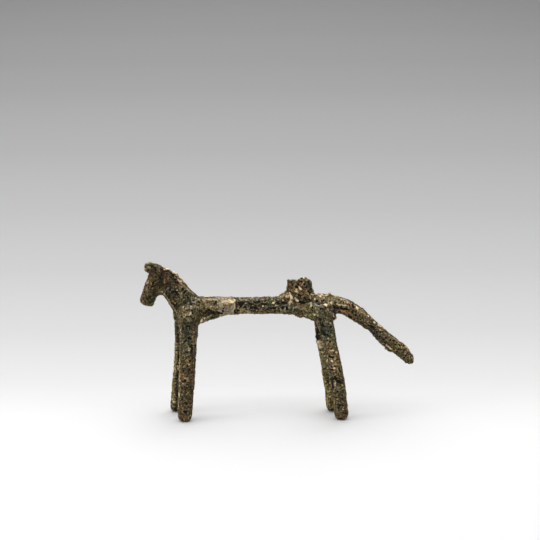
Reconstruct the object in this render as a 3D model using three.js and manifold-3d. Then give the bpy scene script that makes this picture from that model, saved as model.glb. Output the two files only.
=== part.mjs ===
// A small votive horse, cast solid in bronze from a wax model of rolled rods pressed together.
// The barrel is one level rod, the legs are two splayed pairs, the tail is a rod bent down to a blunt tip,
// and the stump of a lost rider or load rises in two knobs above the loins. It was cast in one piece.
// Millimetres, +Z up, head towards -X, left flank towards -Y.
// The origin is on the ground, under the middle of the bounding box.
import * as THREE from "three";
import { mergeVertices } from "three/addons/utils/BufferGeometryUtils.js";
import Module from "manifold-3d";

const wasm = await Module();
wasm.setup();

// Driving sizes, in the side view. Angles are degrees above level, and 180 points straight ahead.
const rodThick = 5.75;
const barrelHeight = 39.8;
const shoulderX = -31;
const loinsX = 15;
const neckLength = 13;
const neckAngle = 128;
const headLength = 11;
const headAngle = 246;
const tailRootX = 21;
const tailReach = 25.1;
const tailDrop = 19.6;
const legThick = 5.0;
const farLegThick = 4.6;
const stumpX = 7.6;
const nibThick = 1.8;

// Driving sizes across the horse, from its middle plane. The right hind foot is tucked in.
const hipHalf = 1.9;
const stanceHalf = 4.95;
const tuckedStanceHalf = 3.45;

// The rounded end of a leg dips this far under the ground, as a share of its length, and is cut there
const soleDome = 1.7;
const soleCut = 0.78;

// How finely the rods are faceted
const rodSides = 16;
const ringStep = 2.6;
const domeRings = 3;

// A point in the side view, and the point that lies at an angle and a distance from another
const at = (x, z, y = 0) => new THREE.Vector3(x, y, z);
function aside(from, degrees, distance) {
  const angle = THREE.MathUtils.degToRad(degrees);
  return at(from.x + distance * Math.cos(angle), from.z + distance * Math.sin(angle), from.y);
}

// The outline that a lathe turns: a dome, a straight side of full radius, and a dome.
// Below 0 and above 1 it is in the domes, and from 0 to 1 it is along the rod.
function domedOutline(rings) {
  const outline = [];
  for (let i = 0; i < domeRings; i++) {
    const turn = (Math.PI / 2) * (i / domeRings);
    outline.push(new THREE.Vector2(Math.sin(turn), -Math.cos(turn)));
  }
  for (let i = 0; i <= rings; i++) outline.push(new THREE.Vector2(1, i / rings));
  for (let i = domeRings - 1; i >= 0; i--) {
    const turn = (Math.PI / 2) * (i / domeRings);
    outline.push(new THREE.Vector2(Math.sin(turn), 1 + Math.cos(turn)));
  }
  return outline;
}

// A rolled rod along a smooth line through some points, with domes beyond its first and last point.
// Each section is [width across the horse, depth in the side view], and they are spread evenly.
// square is 2 for an oval section and more for a squarer one; domes are the two domes' lengths.
function rod(points, sections, { square = 2, domes = [1, 1], sides = rodSides } = {}) {
  const line = new THREE.CatmullRomCurve3(points);
  const halves = new THREE.CatmullRomCurve3(sections.map(([width, depth]) => at(width / 2, depth / 2)));
  const shape = new THREE.LatheGeometry(domedOutline(Math.ceil(line.getLength() / ringStep)), sides);
  const spots = shape.getAttribute("position");
  for (let i = 0; i < spots.count; i++) {
    const turned = new THREE.Vector3().fromBufferAttribute(spots, i);
    const along = THREE.MathUtils.clamp(turned.y, 0, 1);
    const domeShare = turned.y - along;
    const tangent = line.getTangent(along);
    const across = new THREE.Vector3(0, 1, 0).addScaledVector(tangent, -tangent.y).normalize();
    const deep = new THREE.Vector3().crossVectors(across, tangent);
    const half = halves.getPoint(along);
    const radius = Math.hypot(turned.x, turned.z);
    const spread = Math.abs(turned.x / radius) ** square + Math.abs(turned.z / radius) ** square;
    const corner = radius > 1e-6 ? spread ** (-1 / square) : 1;
    const spot = line.getPoint(along)
      .addScaledVector(tangent, domeShare * domes[domeShare < 0 ? 0 : 1])
      .addScaledVector(across, turned.x * corner * half.x)
      .addScaledVector(deep, turned.z * corner * half.z);
    spots.setXYZ(i, spot.x, spot.y, spot.z);
  }
  return shape;
}

// An egg-shaped pellet of wax, from its middle and its lengths along X, Y and Z
function pellet(middle, [long, wide, high], sides = 14) {
  return new THREE.SphereGeometry(0.5, sides, Math.ceil(sides / 2))
    .scale(long, wide, high)
    .translate(middle.x, middle.y, middle.z);
}

// One leg, from the hip down to its sole. out is how far out its foot stands, to the left if negative.
// knots are the side view's [x, thickness] at the hip, above the knee, below the knee and at the foot.
function leg(out, knots) {
  const soleHeight = soleDome * soleCut;
  const points = knots.map(([x], i) => {
    const down = i / (knots.length - 1);
    const y = THREE.MathUtils.lerp(Math.sign(out) * hipHalf, out, down);
    return at(x, THREE.MathUtils.lerp(barrelHeight, soleHeight, down), y);
  });
  const sections = knots.map(([, thick]) => [thick * 0.96, thick]);
  return rod(points, sections, { square: 2.5, domes: [1.5, soleDome] });
}

// The fore legs stand nearly upright and the hind legs rake back, with the right ones a little ahead
function legs() {
  const near = legThick;
  const far = farLegThick;
  return [
    leg(-stanceHalf, [[-30.1, near * 1.5], [-30.4, near * 1.18], [-31.2, near * 1.12], [-31.9, near]]),
    leg(stanceHalf, [[-32.4, far * 1.2], [-32.9, far], [-33.8, far], [-35.0, far]]),
    leg(-stanceHalf, [[15.4, near * 1.25], [18.2, near], [20.8, near], [22.4, near]]),
    leg(tuckedStanceHalf, [[14.8, far * 1.15], [16.2, far], [18.4, far * 0.96], [20.0, far]]),
  ];
}

// The barrel is a level rod, a little thicker at both ends, where it is pressed into the legs
function barrel() {
  return rod(
    [at(shoulderX, barrelHeight), at(0, barrelHeight), at(loinsX, barrelHeight - 0.3)],
    [[6.4, 6.6], [rodThick, rodThick], [rodThick, rodThick], [6.6, 7.2]],
    { square: 2.2 },
  );
}

// Wax smeared from the barrel on to the legs: behind the fore legs, before the hind legs and on the chest
function webs() {
  const behindForeLegs = [at(-29.3, 36.0, -0.3), at(-24.4, 37.0, -0.2), at(-17.0, 38.9)];
  const beforeHindLegs = [at(loinsX, 36.2, -0.2), at(10.5, 37.8, -0.1), at(5.0, 38.9)];
  const chest = [at(-32.4, 41.5), at(-32.5, 37.4, 0.3), at(-31.6, 34.4, 0.2)];
  return [
    rod(behindForeLegs, [[6.6, 5.6], [5.6, 5.3], [4.8, 4.4]]),
    rod(beforeHindLegs, [[6.6, 5.6], [5.8, 5.2], [5.0, 4.8]]),
    rod(chest, [[5.8, 6.6], [6.0, 6.4], [6.2, 5.4]]),
  ];
}

// The rump swells above the hind legs and runs out into the tail
function rump() {
  return [
    pellet(at(loinsX + 0.6, barrelHeight), [12.4, 7.2, 7.8]),
    pellet(at(loinsX + 1.6, barrelHeight - 3.8, -0.6), [6.4, 6.6, 6.0]),
  ];
}

// The tail leaves level, bends down by 40 degrees, thins half way down and ends in a blunt club.
// Its bends are shares of its reach back and of its drop, and thick is against the barrel.
function tail() {
  const back = [-0.18, 0.1, 0.33, 0.49, 0.64, 0.8, 0.99];
  const down = [-0.01, 0.04, 0.23, 0.42, 0.61, 0.77, 1];
  const thick = [1.15, 1, 0.88, 0.73, 0.87, 0.82, 0.7];
  return rod(
    back.map((share, i) => at(tailRootX + share * tailReach, barrelHeight - down[i] * tailDrop)),
    thick.map((share) => [(share + 0.8) / 2 * rodThick, share * rodThick]),
    { domes: [1, 2.1] },
  );
}

// The neck is a flat plate, deep in the side view, with a squared crest for the mane
function neck() {
  const foot = at(shoulderX + 0.5, barrelHeight - 0.2);
  return rod(
    [foot, aside(foot, neckAngle, neckLength / 2), aside(foot, neckAngle, neckLength)],
    [[6.4, 10.2], [6.0, 9.0], [5.6, 8.3], [5.0, 7.2]],
    { square: 2.7, domes: [1, 2.2] },
  );
}

// The head tapers from the cheek to a blunt muzzle, under a forelock and two laid-back ears
function head() {
  const poll = at(-40.1, 51.2);
  const muzzle = rod(
    [poll, aside(poll, headAngle - 1.5, headLength / 2), aside(poll, headAngle, headLength)],
    [[4.8, 5.6], [5.0, 5.9], [4.8, 5.7], [4.4, 5.3], [4.2, 5.0]],
    { square: 2.4, domes: [1.6, 1.0] },
  );
  const throat = pellet(at(poll.x + 0.4, poll.z - 5.8), [3.6, 4.4, 3.4], 12);
  const forelock = rod(
    [at(poll.x - 3.6, poll.z + 2.4), at(poll.x - 1.3, poll.z + 2.1), at(poll.x + 0.7, poll.z + 1.2)],
    [[3.6, 3.6], [4.0, 3.6], [4.0, 3.0]],
    { domes: [1.5, 1], sides: 12 },
  );
  const ears = [-1, 1].map((side) => pellet(at(poll.x - 0.1, poll.z + 1.5, side * 1.9), [3.2, 1.7, 2.3], 10));
  return [muzzle, throat, forelock, ...ears];
}

// What is left of a rider or load: a low mound with a small knob in front and a large one behind
function stump() {
  const mound = rod(
    [at(stumpX - 4.6, 41.9), at(stumpX, 43.4), at(stumpX + 2.8, 43.2)],
    [[5.0, 4.0], [5.6, 7.6], [5.6, 7.4]],
    { domes: [2.4, 2.4], square: 2.2 },
  );
  const frontKnob = rod(
    [at(stumpX - 1.8, 43.6, -0.2), at(stumpX - 2, 47.6, -0.2)],
    [[4.4, 5.0], [3.4, 4.0]],
    { domes: [1, 1], sides: 12 },
  );
  const rearKnob = pellet(at(stumpX + 1.8, 46.9), [5.4, 5.0, 5.3]);
  return [mound, frontKnob, rearKnob];
}

// Casting nibs and lumps of corrosion large enough to break the outline
function nibs() {
  const nib = (x, z, y, size) => pellet(at(x, z, y), Array(3).fill(nibThick * size), 8);
  return [
    nib(stumpX - 3.1, 48.0, -0.2, 1.15),
    nib(-0.5, 42.0, 0.4, 0.9),
    nib(-2.0, 42.2, -0.5, 0.8),
    nib(8.0, 36.2, -0.6, 0.9),
    nib(17.9, 43.2, -0.4, 0.9),
    nib(19.2, 35.4, -0.8, 1.4),
    nib(14.5, 26.0, 3.0, 1.1),
  ];
}

// A closed three.js geometry as a solid
function solidOf(shape) {
  const corners = shape.toNonIndexed().getAttribute("position");
  const merged = mergeVertices(new THREE.BufferGeometry().setAttribute("position", corners), 1e-4);
  return new wasm.Manifold(new wasm.Mesh({
    numProp: 3,
    vertProperties: merged.getAttribute("position").array,
    triVerts: new Uint32Array(merged.getIndex().array),
  }));
}

// A solid as a three.js geometry
function geometryOf(solid) {
  const mesh = solid.getMesh();
  return new THREE.BufferGeometry()
    .setAttribute("position", new THREE.BufferAttribute(new Float32Array(mesh.vertProperties), 3))
    .setIndex(new THREE.BufferAttribute(new Uint32Array(mesh.triVerts), 1));
}

// All the wax pressed together, with the soles cut level, and centred over the origin
function casting() {
  const wax = [barrel(), ...webs(), ...rump(), ...legs(), neck(), ...head(), tail(), ...stump(), ...nibs()];
  const joined = wax.map(solidOf).reduce((whole, piece) => whole.add(piece));
  const ground = new THREE.BoxGeometry(200, 100, 20).translate(0, 0, -10);
  const shape = geometryOf(joined.subtract(solidOf(ground)));
  shape.computeBoundingBox();
  const { min, max } = shape.boundingBox;
  shape.translate(-(min.x + max.x) / 2, -(min.y + max.y) / 2, 0);
  return shape;
}

const bronze = new THREE.MeshStandardMaterial({ color: 0x5b5140, roughness: 0.75, metalness: 0.4 });
const horse = new THREE.Mesh(casting(), bronze);
horse.name = "horse";

const part = new THREE.Group();
part.add(horse);

export default part;
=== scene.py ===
# %% [markdown]
# This lesson finishes a small bronze horse. It was cast solid from a model of rolled rods of wax, and
# then lay in the ground for a very long time. The solid that comes in is already the right shape and
# size, but its skin is smooth and cut into facets. What is missing is everything that the ground did to
# it: pits, warts, crust, dust, a repaired break and a few spots rubbed back to metal.
#
# We go in four steps. First the camera, the floor and the lamps, because a finish can only be judged in
# its light. Then a fine skin is wrapped round the solid and given real relief. Then single marks are
# laid where the photograph shows them, and others are strewn over the sides that it doesn't show. Last
# comes one layered material, which reads from the skin where the hollows and the marks are.

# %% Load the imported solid
import math

import bpy
import numpy as np
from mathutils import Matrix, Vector, noise
from mathutils.bvhtree import BVHTree
from mathutils.kdtree import KDTree


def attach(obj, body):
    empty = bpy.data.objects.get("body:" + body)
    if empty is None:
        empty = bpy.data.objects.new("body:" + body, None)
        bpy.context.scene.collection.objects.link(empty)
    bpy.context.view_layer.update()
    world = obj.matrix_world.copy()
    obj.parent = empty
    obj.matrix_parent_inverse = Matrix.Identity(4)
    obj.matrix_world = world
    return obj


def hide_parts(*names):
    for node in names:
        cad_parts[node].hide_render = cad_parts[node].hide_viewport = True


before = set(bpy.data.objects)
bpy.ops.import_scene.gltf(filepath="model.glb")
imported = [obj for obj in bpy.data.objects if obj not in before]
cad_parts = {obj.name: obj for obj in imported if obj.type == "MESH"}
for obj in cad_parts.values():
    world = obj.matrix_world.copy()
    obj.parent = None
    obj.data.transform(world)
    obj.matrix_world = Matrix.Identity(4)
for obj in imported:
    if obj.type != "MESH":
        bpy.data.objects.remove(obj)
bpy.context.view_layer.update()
MM = 0.001

# %% [markdown]
# The camera comes first, because marks are later found by looking through it. The photograph was taken
# with a long lens, two degrees left of square to the flank and fifteen degrees above it: the far feet
# show a little above the near ones, and each far leg peeps out on the same side of its neighbour.
# A camera could be placed by trial, nudging it until the picture fits. Here we know the scale, 0.35 mm
# a pixel, and the pixel that the origin falls on, so its place can be worked out: we step back from the
# origin along the line of sight, and then aside and down until the origin lands on its pixel.

# %% Camera
PHOTO_SIDE = 540
PIXEL = 0.35 * MM
ORIGIN_ACROSS = 277.9
ORIGIN_DOWN = 414.3
LENS = 100
SENSOR = 36
AZIMUTH = math.radians(-2)
ELEVATION = math.radians(15)

focal_pixels = LENS / SENSOR * PHOTO_SIDE
right = Vector((math.cos(AZIMUTH), math.sin(AZIMUTH), 0))
forward = Vector((
    -math.sin(AZIMUTH) * math.cos(ELEVATION),
    math.cos(AZIMUTH) * math.cos(ELEVATION),
    -math.sin(ELEVATION),
))
upward = right.cross(forward)
middle = PHOTO_SIDE / 2
eye = (
    -right * (ORIGIN_ACROSS - middle) * PIXEL
    - upward * (middle - ORIGIN_DOWN) * PIXEL
    - forward * focal_pixels * PIXEL
)

camera = bpy.data.objects.new("camera", bpy.data.cameras.new("camera"))
camera.data.lens = LENS
camera.data.sensor_width = SENSOR
camera.data.clip_start = 0.02
camera.data.clip_end = 20
camera.location = eye
camera.rotation_mode = "QUATERNION"
camera.rotation_quaternion = forward.to_track_quat("-Z", "Y")
bpy.context.scene.collection.objects.link(camera)
bpy.context.scene.camera = camera
print("camera stands", round(eye.length / MM), "mm from the origin")


def sight(across, down):
    """The direction in which the camera sees a pixel of the photograph."""
    return (forward * focal_pixels + right * (across - middle) + upward * (middle - down)).normalized()


# %% [markdown]
# Every material below is a sum of noises and masks. In Blender each plus or times is a Math node, which
# makes a simple sum long to build by hand. So one small class wraps a socket, and Python's own operators
# add the Math nodes for us. A second class keeps the node tree, and adds any other node from its type,
# its settings and what goes into its sockets.

# %% Shader helpers
def math_node(operation, swapped=False):
    """An operator for Wire: a Math node with the wire and the other value on its sockets."""
    def apply(wire, other):
        first, second = (other, wire) if swapped else (wire, other)
        return wire.recipe.node("ShaderNodeMath", {"operation": operation}, {0: first, 1: second})
    return apply


class Wire:
    """One output socket, with the operators that the recipes below use."""

    def __init__(self, recipe, socket):
        self.recipe = recipe
        self.socket = socket

    __add__ = math_node("ADD")
    __radd__ = math_node("ADD")
    __sub__ = math_node("SUBTRACT")
    __rsub__ = math_node("SUBTRACT", swapped=True)
    __mul__ = math_node("MULTIPLY")
    __rmul__ = math_node("MULTIPLY")
    __pow__ = math_node("POWER")

    def output(self, index):
        """Another output of the same node."""
        return Wire(self.recipe, self.socket.node.outputs[index])


class Recipe:
    """A material's node tree, and the few nodes that every finish here needs."""

    def __init__(self, name):
        self.material = bpy.data.materials.new(name)
        self.material.use_nodes = True
        self.tree = self.material.node_tree
        self.tree.nodes.clear()

    def node(self, kind, settings=None, sockets=None, output=0):
        """Adds a node, sets it up, fills its sockets and gives one of its outputs."""
        made = self.tree.nodes.new(kind)
        for name, value in (settings or {}).items():
            if name == "stops":
                self.set_stops(made.color_ramp, value)
            else:
                setattr(made, name, value)
        for name, value in (sockets or {}).items():
            if isinstance(value, Wire):
                self.tree.links.new(value.socket, made.inputs[name])
            else:
                made.inputs[name].default_value = value
        return Wire(self, made.outputs[output])

    def set_stops(self, ramp, stops):
        """Gives a ramp its stops, each a place and a colour."""
        while len(ramp.elements) < len(stops):
            ramp.elements.new(1)
        for element, (place, colour) in zip(ramp.elements, stops):
            element.position = place
            element.color = (*colour, 1)

    def ramp(self, value, stops):
        """A colour looked up along a ramp."""
        return self.node("ShaderNodeValToRGB", {"stops": stops}, {0: value})

    def step(self, value, low, high):
        """0 below low, 1 above high, and a smooth rise between."""
        settings = {"interpolation_type": "SMOOTHSTEP"}
        return self.node("ShaderNodeMapRange", settings, {0: value, 1: low, 2: high})

    def noise(self, place, size, detail=2, roughness=0.5):
        """Cloudy noise from 0 to 1 whose clouds are about size metres across."""
        sockets = {"Vector": place, "Scale": 1 / size, "Detail": detail, "Roughness": roughness}
        return self.node("ShaderNodeTexNoise", {}, sockets)

    def dots(self, place, spacing, smallest, largest):
        """Round dots about spacing metres apart, most near the smallest radius and a few large."""
        gap = self.node("ShaderNodeTexVoronoi", {}, {"Vector": place, "Scale": 1 / spacing})
        luck = self.red(gap.output(1))
        radius = smallest / spacing + luck ** 3 * ((largest - smallest) / spacing)
        return self.step(radius - gap, 0, 0.06)

    def patches(self, place, size, shiver):
        """Ragged patches about size metres across, each with a random colour."""
        sockets = {"Vector": place, "Scale": 2 / size, "Detail": 2}
        waver = self.node("ShaderNodeTexNoise", {}, sockets, output=1)
        centred = self.node("ShaderNodeVectorMath", {"operation": "SUBTRACT"},
                            {0: waver, 1: (0.5, 0.5, 0.5)})
        shifted = self.node("ShaderNodeVectorMath", {"operation": "MULTIPLY_ADD"},
                            {0: centred, 1: (shiver, shiver, shiver), 2: place})
        return self.node("ShaderNodeTexVoronoi", {}, {"Vector": shifted, "Scale": 1 / size}, output=1)

    def red(self, colour):
        """The red of a colour, to be used as a number from 0 to 1."""
        return self.node("ShaderNodeSeparateColor", {}, {0: colour})

    def tint(self, colour, random_colour, strength):
        """Pushes a colour's red, green and blue apart by a random colour."""
        share = self.node("ShaderNodeVectorMath", {"operation": "MULTIPLY_ADD"},
                          {0: random_colour, 1: (strength,) * 3, 2: (1 - strength / 2,) * 3})
        return self.node("ShaderNodeVectorMath", {"operation": "MULTIPLY"}, {0: colour, 1: share})

    def mix(self, mask, under, over):
        """Lays one colour over another through a mask."""
        return self.node("ShaderNodeMix", {"data_type": "RGBA"}, {0: mask, 6: under, 7: over}, output=2)

    def attribute(self, name):
        """A value that was stored on the mesh, point by point."""
        return self.node("ShaderNodeAttribute", {"attribute_name": name}, output=2)

    def finish(self, sockets):
        """Ends the recipe in one Principled surface."""
        surface = self.node("ShaderNodeBsdfPrincipled", {}, sockets)
        output = self.tree.nodes.new("ShaderNodeOutputMaterial")
        self.tree.links.new(surface.socket, output.inputs["Surface"])
        return self.material


# %% [markdown]
# The horse stands on a wide pale floor that goes slowly from white under the camera to grey far away, as
# a studio sweep does when its light falls off. The falloff could be left to the lamps, but then they
# would have to be tuned for the background and not for the horse. So the falloff is painted light: the
# floor's own colour carries it, along one direction, by a ramp whose stops are a distance in metres and a
# grey. Near the camera the grey is lighter still, painted light that keeps the horse's soft shadow pale.

# %% Floor
FLOOR_RADIUS = 2.6
FLOOR_SIDES = 96
PAINTED_FLOOR_FALLOFF = [
    (-0.101, 0.67), (-0.050, 0.665), (-0.024, 0.65), (0.004, 0.61), (0.036, 0.53), (0.099, 0.444),
    (0.195, 0.370), (0.325, 0.313), (0.509, 0.267), (0.794, 0.242), (1.003, 0.249), (1.289, 0.295),
    (1.706, 0.400)]
FADE_START = PAINTED_FLOOR_FALLOFF[0][0]
FADE_LENGTH = PAINTED_FLOOR_FALLOFF[-1][0] - FADE_START


def make_floor():
    """A level disc of pale floor, its colour graded as painted falloff of the light."""
    ring = [2 * math.pi * k / FLOOR_SIDES for k in range(FLOOR_SIDES)]
    rim = [(FLOOR_RADIUS * math.cos(a), FLOOR_RADIUS * math.sin(a), 0) for a in ring]
    mesh = bpy.data.meshes.new("floor")
    mesh.from_pydata(rim, [], [list(range(FLOOR_SIDES))])
    floor = bpy.data.objects.new("floor", mesh)
    bpy.context.scene.collection.objects.link(floor)
    recipe = Recipe("floor_with_painted_falloff")
    place = recipe.node("ShaderNodeTexCoord", output=3)
    depth = recipe.node("ShaderNodeSeparateXYZ", sockets={0: place}, output=1)
    along = (depth - FADE_START) * (1 / FADE_LENGTH)
    stops = [((y - FADE_START) / FADE_LENGTH, (grey, grey, grey)) for y, grey in PAINTED_FLOOR_FALLOFF]
    colour = recipe.ramp(along, stops)
    sockets = {"Base Color": colour, "Roughness": 0.9, "Specular IOR Level": 0.1}
    mesh.materials.append(recipe.finish(sockets))
    return floor


floor = make_floor()
print("floor fades over", round(FADE_LENGTH, 2), "m")

# %% [markdown]
# Small finds are photographed under one big soft box, with white paper all round. In the photograph the
# tops of the rods are about four times as bright as the flanks, and their undersides go dark, so the box
# hangs above and behind the horse. The paper is an evenly bright world. A small box at the left lifts
# the face and the fronts of the legs, and a weak one keeps the far floor from going dark.

# %% Lights
WORLD_LIGHT = 0.325


def make_soft_box(name, place, side, power, aim):
    """A square soft box of that side in metres, pointed at a place."""
    light = bpy.data.lights.new(name, "AREA")
    light.shape = "SQUARE"
    light.size = side
    light.energy = power
    box = bpy.data.objects.new(name, light)
    box.location = place
    box.rotation_mode = "QUATERNION"
    box.rotation_quaternion = (Vector(aim) - Vector(place)).to_track_quat("-Z", "Y")
    bpy.context.scene.collection.objects.link(box)
    print(name, "is", round((Vector(place) - Vector(aim)).length, 2), "m from what it lights")


make_soft_box("overhead_box", (-0.05, 0.42, 0.75), 1.50, 17.2, aim=(-0.05, 0.42, 0))
make_soft_box("left_box", (-0.60, -0.10, 0.40), 0.25, 0.95, aim=(0, 0, 0.025))
make_soft_box("background_box", (0, 1.60, 0.90), 0.60, 1.25, aim=(0, 1.60, 0))

world = bpy.data.worlds.new("paper")
world.use_nodes = True
world.node_tree.nodes["Background"].inputs["Color"].default_value = (1, 1, 1, 1)
world.node_tree.nodes["Background"].inputs["Strength"].default_value = WORLD_LIGHT
bpy.context.scene.world = world
bpy.context.scene.view_settings.view_transform = "Standard"

# %% [markdown]
# The faceted solid can't take fine relief, so we wrap a copy of it in small even squares with a voxel
# remesh. The squares are a quarter of a millimetre, fine enough for a pit that the photograph shows as
# one dark pixel. A subdivision would keep the facets' long thin triangles, and the remesh gives squares
# of one size everywhere, on a rod and on the head alike. It leaves small steps, which some rounds of
# averaging each point with its neighbours take away again.

# %% Wrap the solid in a fine skin
CELL = 0.25 * MM
SMOOTHINGS = 20


def wrap(node, name, cell):
    """A copy of a solid, remeshed into even squares of that size."""
    piece = bpy.data.objects.new(name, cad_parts[node].data.copy())
    bpy.context.scene.collection.objects.link(piece)
    piece.data.materials.clear()
    skin = piece.modifiers.new("skin", "REMESH")
    skin.mode = "VOXEL"
    skin.voxel_size = cell
    shown = piece.evaluated_get(bpy.context.evaluated_depsgraph_get())
    even = bpy.data.meshes.new_from_object(shown)
    piece.modifiers.clear()
    piece.data = even
    return piece


horse = wrap("horse", "bronze_horse", CELL)
mesh = horse.data
count = len(mesh.vertices)
print("skin has", count, "points and", sum(len(p.vertices) - 2 for p in mesh.polygons), "triangles")

# %% [markdown]
# To move a hundred thousand points one by one in Python would be slow, so they are read into arrays and
# worked on all at once. The edges tell which points are neighbours. Averaging along them smooths the
# skin now, and shows later which spots lie in a hollow.

# %% Points of the skin as arrays
ends = np.empty(len(mesh.edges) * 2, dtype=np.int64)
mesh.edges.foreach_get("vertices", ends)
ends = ends.reshape(-1, 2)
here = np.concatenate([ends[:, 0], ends[:, 1]])
there = np.concatenate([ends[:, 1], ends[:, 0]])
neighbours = np.bincount(here, minlength=count)


def get_points():
    """Every point of the skin, in millimetres."""
    flat = np.empty(count * 3)
    mesh.vertices.foreach_get("co", flat)
    return flat.reshape(-1, 3) / MM


def get_normals():
    """The outward direction at every point."""
    flat = np.empty(count * 3)
    mesh.vertices.foreach_get("normal", flat)
    return flat.reshape(-1, 3)


def set_points(points):
    """Moves the skin to these points, in millimetres."""
    mesh.vertices.foreach_set("co", (points * MM).ravel())
    mesh.update()


def soften(values, rounds):
    """Values averaged with their neighbours along the mesh, that many times."""
    values = values.copy()
    for _ in range(rounds):
        if values.ndim == 1:
            mean = np.bincount(here, values[there], count) / neighbours
        else:
            mean = np.stack([np.bincount(here, column[there], count) for column in values.T], 1)
            mean = mean / neighbours[:, None]
        values = (values + mean) / 2
    return values


packed_points = get_points()
smooth_points = soften(packed_points, SMOOTHINGS)
set_points(smooth_points)
normals = get_normals()
shift = float(np.abs(smooth_points - packed_points).max())
print("smoothing moved the skin by", round(shift, 2), "mm at most")

# %% [markdown]
# Relief comes in sizes. The maker's fingers left the rods a little uneven over a centimetre, corrosion
# raised lumps of a few millimetres on them, and a granular crust covers it all. Each size is a noise of
# its own, and they are added up and moved along the normals. A single fine noise would look like
# sandpaper on perfect rods, and sculpting by hand couldn't be repeated.

# %% Rolling noise
def rolling(points, size, octaves, seed):
    """Noise of about -1 to 1 at every point, with lumps about size millimetres apart."""
    shift = Vector((seed, seed * 1.7 + 3.1, seed * 0.6 - 5.3))
    places = points / size
    return np.array([noise.fractal(Vector(p) + shift, 1.0, 2.0, octaves) for p in places])


def rise(values, low, high):
    """0 below low, 1 above high, and a smooth rise between."""
    share = np.clip((values - low) / (high - low), 0, 1)
    return share * share * (3 - 2 * share)


RELIEF = {
    "wobble of the rods": {"size": 9.0, "octaves": 2, "seed": 1.0, "lift": 0.07},
    "lumps of corrosion": {"size": 2.6, "octaves": 2, "seed": 7.0, "lift": 0.12},
    "granular crust": {"size": 0.95, "octaves": 3, "seed": 13.0, "lift": 0.15},
}
height = np.zeros(count)
for name, layer in RELIEF.items():
    swing = rolling(smooth_points, layer["size"], layer["octaves"], layer["seed"])
    height += layer["lift"] * swing
    print(name, "moves the skin by up to", round(layer["lift"] * float(np.abs(swing).max()), 2), "mm")

# %% [markdown]
# Pits and warts are single things with a round rim, which noise can't make. We strew them by picking
# points of the skin with a seeded random number generator, so that they come out alike every time. Most
# pits are shallow. A few are deep, where the crust has fallen out of an old gas bubble in the casting.

# %% Strewn pits and warts
draw = np.random.default_rng(4107)
tree = KDTree(count)
for index, point in enumerate(smooth_points):
    tree.insert(Vector(point), index)
tree.balance()


def strew(amount, reach, depth):
    """Round dents (or warts, where depth is below 0) on random points of the skin."""
    change = np.zeros(count)
    centres = draw.integers(0, count, amount)
    reaches = draw.uniform(*reach, amount)
    depths = draw.uniform(*depth, amount)
    for centre, wide, deep in zip(centres, reaches, depths):
        for _, index, distance in tree.find_range(Vector(smooth_points[centre]), wide):
            bowl = deep * (1 - (distance / wide) ** 2) ** 1.5
            change[index] = min(change[index], -bowl) if deep > 0 else max(change[index], -bowl)
    return change


shallow_pits = strew(1200, reach=(0.30, 0.60), depth=(0.06, 0.22))
deep_pits = strew(160, reach=(0.35, 0.70), depth=(0.25, 0.45))
warts = strew(700, reach=(0.30, 0.60), depth=(-0.20, -0.06))
pits = np.minimum(shallow_pits, deep_pits)
print("pits take up", round(100 * float((pits < -0.05).mean())), "% of the skin")

# %% [markdown]
# The side that the photograph shows has marks of its own, and they are what makes it this horse and no
# other. Each mark is a short stroke. We look through the camera at the stroke's pixels, find the skin
# behind them, and wet every point within reach of it. A painted image could hold such marks too, but it
# would stop at the outline, while a stroke in space also wraps round the rod that it lies on. The points
# are shifted by a small noise before they are measured, so that no stroke has a clean edge.

# %% Find marks on the skin
faces = [tuple(polygon.vertices) for polygon in mesh.polygons]
skin = BVHTree.FromPolygons([Vector(p) for p in smooth_points * MM], faces)
tatter = np.stack([rolling(smooth_points, 0.7, 3, seed=23.0 + k) for k in range(3)], 1)


def behind(across, down, sink=0):
    """The point of the skin, in millimetres, that shows at a pixel, or sink millimetres deeper."""
    ray = sight(across, down)
    hit = skin.ray_cast(eye, ray)[0]
    if hit is None:
        hit = skin.find_nearest(eye - ray * (eye.y / ray.y))[0]
    return np.array(hit) / MM + np.array(forward) * sink


def distance_to_stroke(stops, shiver):
    """How far every point of the skin is from a stroke through these stops."""
    shifted = smooth_points + tatter * shiver
    nearest = np.linalg.norm(shifted - stops[0], axis=1)
    for start, end in zip(stops, stops[1:]):
        along = end - start
        share = np.clip((shifted - start) @ along / max(along @ along, 1e-9), 0, 1)
        gap = np.linalg.norm(shifted - start - share[:, None] * along, axis=1)
        nearest = np.minimum(nearest, gap)
    return nearest


SHIVER_PER_REACH = 0.6
MOST_SHIVER = 1.2
SOFT_RIM = (0.3, 1.4)
covers = {}


def wet(cover, stops, reach, rim):
    """Adds a stroke to a cover: full within rim[0] of its reach, and nothing past rim[1]."""
    gap = distance_to_stroke(stops, min(MOST_SHIVER, SHIVER_PER_REACH * reach))
    return np.maximum(cover, 1 - rise(gap, rim[0] * reach, rim[1] * reach))


def lay(stroke, cover, rim, sink=0):
    """Adds a stroke to a cover. It is across, down, ... in pixels, and last its reach in mm."""
    *pixels, reach = stroke
    stops = [behind(*pair, sink) for pair in zip(pixels[::2], pixels[1::2])]
    return wet(cover, stops, reach, rim)


def mark(name, marks, rim=SOFT_RIM, sink=0):
    """Keeps under a name how strongly its marks cover every point of the skin."""
    cover = np.zeros(count)
    for strokes in marks.values():
        for stroke in strokes:
            cover = lay(stroke, cover, rim, sink)
    covers[name] = cover
    print(name, "covers", round(100 * float((cover > 0.5).mean()), 1), "% of the skin")
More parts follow.
